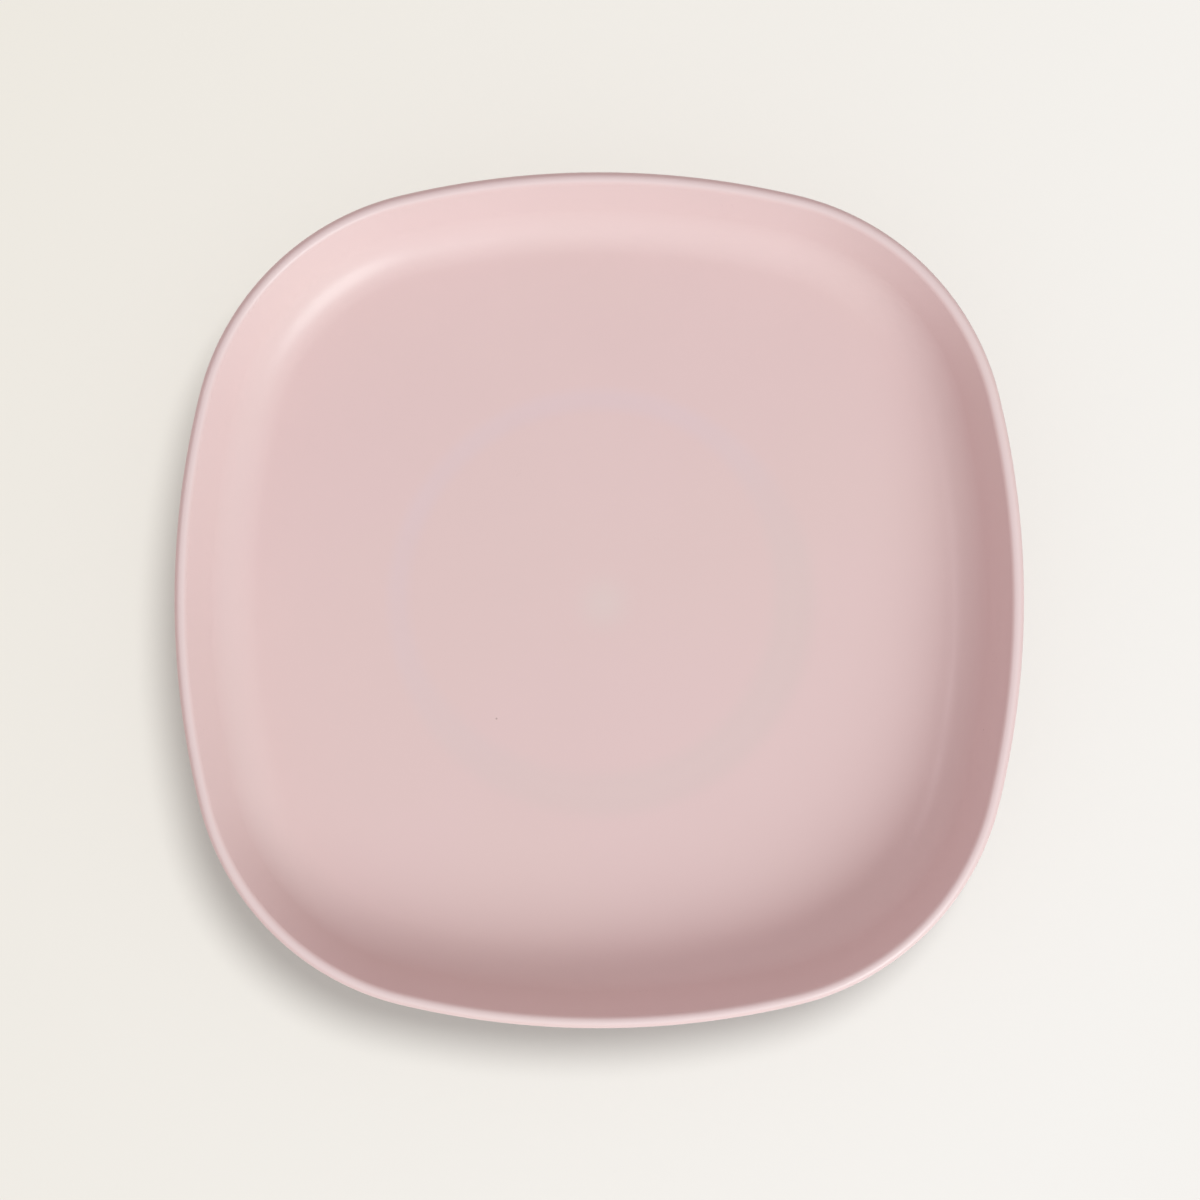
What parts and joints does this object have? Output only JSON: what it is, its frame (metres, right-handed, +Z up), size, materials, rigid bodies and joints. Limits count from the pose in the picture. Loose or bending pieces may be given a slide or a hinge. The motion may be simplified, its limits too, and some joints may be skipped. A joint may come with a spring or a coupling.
{
  "type": "suction plate",
  "caption": "Rounded-square plate with a full-round rim and a filleted well, on a silicone suction foot with a flared sealing lip and a release tab.",
  "frame": {"origin": "on the table under the middle of the plate, at the bottom of the sealing lip", "axes": "+Z up out of the well, +Y away from the release tab, +X to the right"},
  "size_m": [0.2, 0.2014, 0.0335],
  "materials": {
    "plate_plastic": "satin moulded plastic, pale dusty pink",
    "foot_silicone": "matt silicone, deeper dusty pink"
  },
  "bodies": {
    "seal": {"suction_lip": "foot_silicone"},
    "foot": {"suction_foot": "foot_silicone"},
    "plate": {"plate_shell": "plate_plastic"},
    "tab": {"release_tab": "foot_silicone"}
  },
  "joints": [
    {"name": "foot_press", "type": "slide", "parent": "seal", "child": "foot", "axis": [0, 0, -1], "range_m": [0, 0.0018], "stiffness_N_per_m": 1500, "springref_m": -0.004, "deforming": ["suction_lip"]},
    {"name": "plate_lift", "type": "slide", "parent": "foot", "child": "plate", "axis": [0, 0, 1], "range_m": [0, 0.025]},
    {"name": "tab_lift", "type": "hinge", "parent": "seal", "child": "tab", "pos_m": [0, -0.054, 0.0028], "axis": [-1, 0, 0], "range_deg": [0, 14], "stiffness_Nm_per_rad": 0.01}
  ]
}
